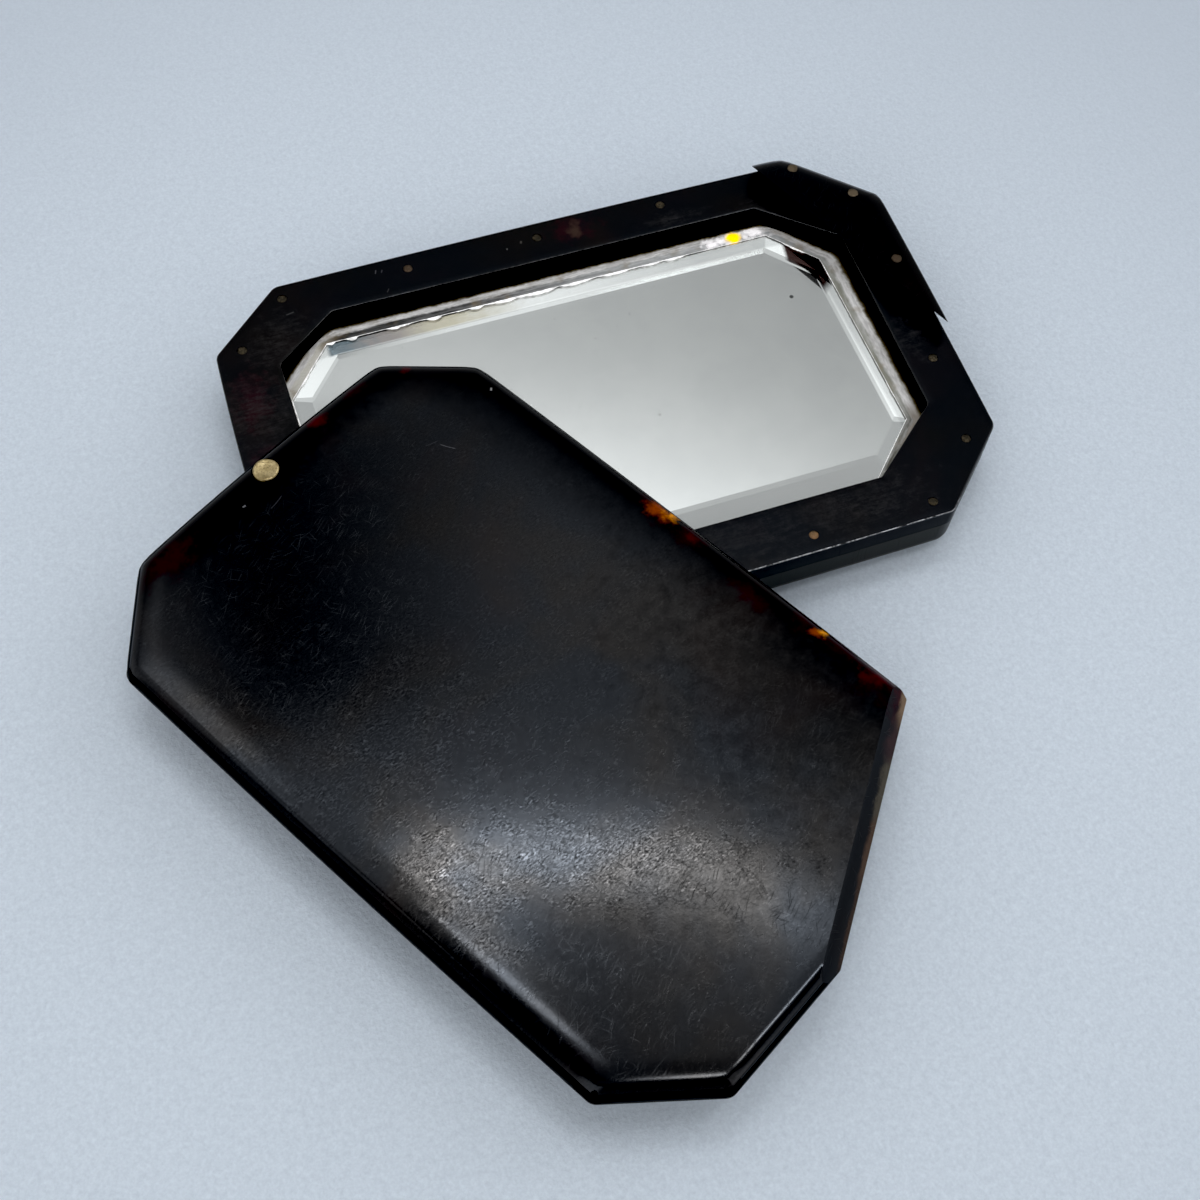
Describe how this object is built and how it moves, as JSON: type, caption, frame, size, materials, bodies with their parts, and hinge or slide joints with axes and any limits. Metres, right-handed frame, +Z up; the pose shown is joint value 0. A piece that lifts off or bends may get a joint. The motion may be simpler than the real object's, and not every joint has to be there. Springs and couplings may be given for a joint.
{
  "type": "compact mirror",
  "caption": "Pocket mirror in a dark polished case: a bevelled glass in a pinned octagonal frame, with a cover plate that swivels on an end rivet and tucks under a fixed corner block.",
  "frame": {"origin": "centre of the flat underside of the back plate", "axes": "+X along the case from the rivet end to the fixed corner block, +Z up out of the mirror face"},
  "size_m": [0.0964, 0.1013, 0.0096],
  "materials": {
    "shell": "polished near-black shell, dark red to amber where it is thin",
    "frame_shell": "satin near-black shell with fine rubbed scratches",
    "glass": "clear bevelled mirror glass, ground edge",
    "silver": "old silvering, stained at the edge",
    "card": "brown packing card",
    "pin_brass": "dull brass, filed flush",
    "rivet_brass": "worn brass, bright at the rim"
  },
  "bodies": {
    "case": {"back_plate": "shell", "mirror_frame": "frame_shell", "corner_stop": "shell", "mirror_glass": "glass", "mirror_silvering": "silver", "backing_card": "card", "frame_pins": "pin_brass", "corner_pins": "pin_brass", "pivot_rivet": "rivet_brass", "pivot_washer": "rivet_brass", "rivet_burr": "rivet_brass"},
    "cover": {"swivel_cover": "shell"}
  },
  "joints": [
    {"name": "cover_swivel", "type": "hinge", "parent": "case", "child": "cover", "pos_m": [-0.03783, 0, 0.00725], "axis": [0, 0, 1], "range_deg": [-256, 60.4]}
  ]
}
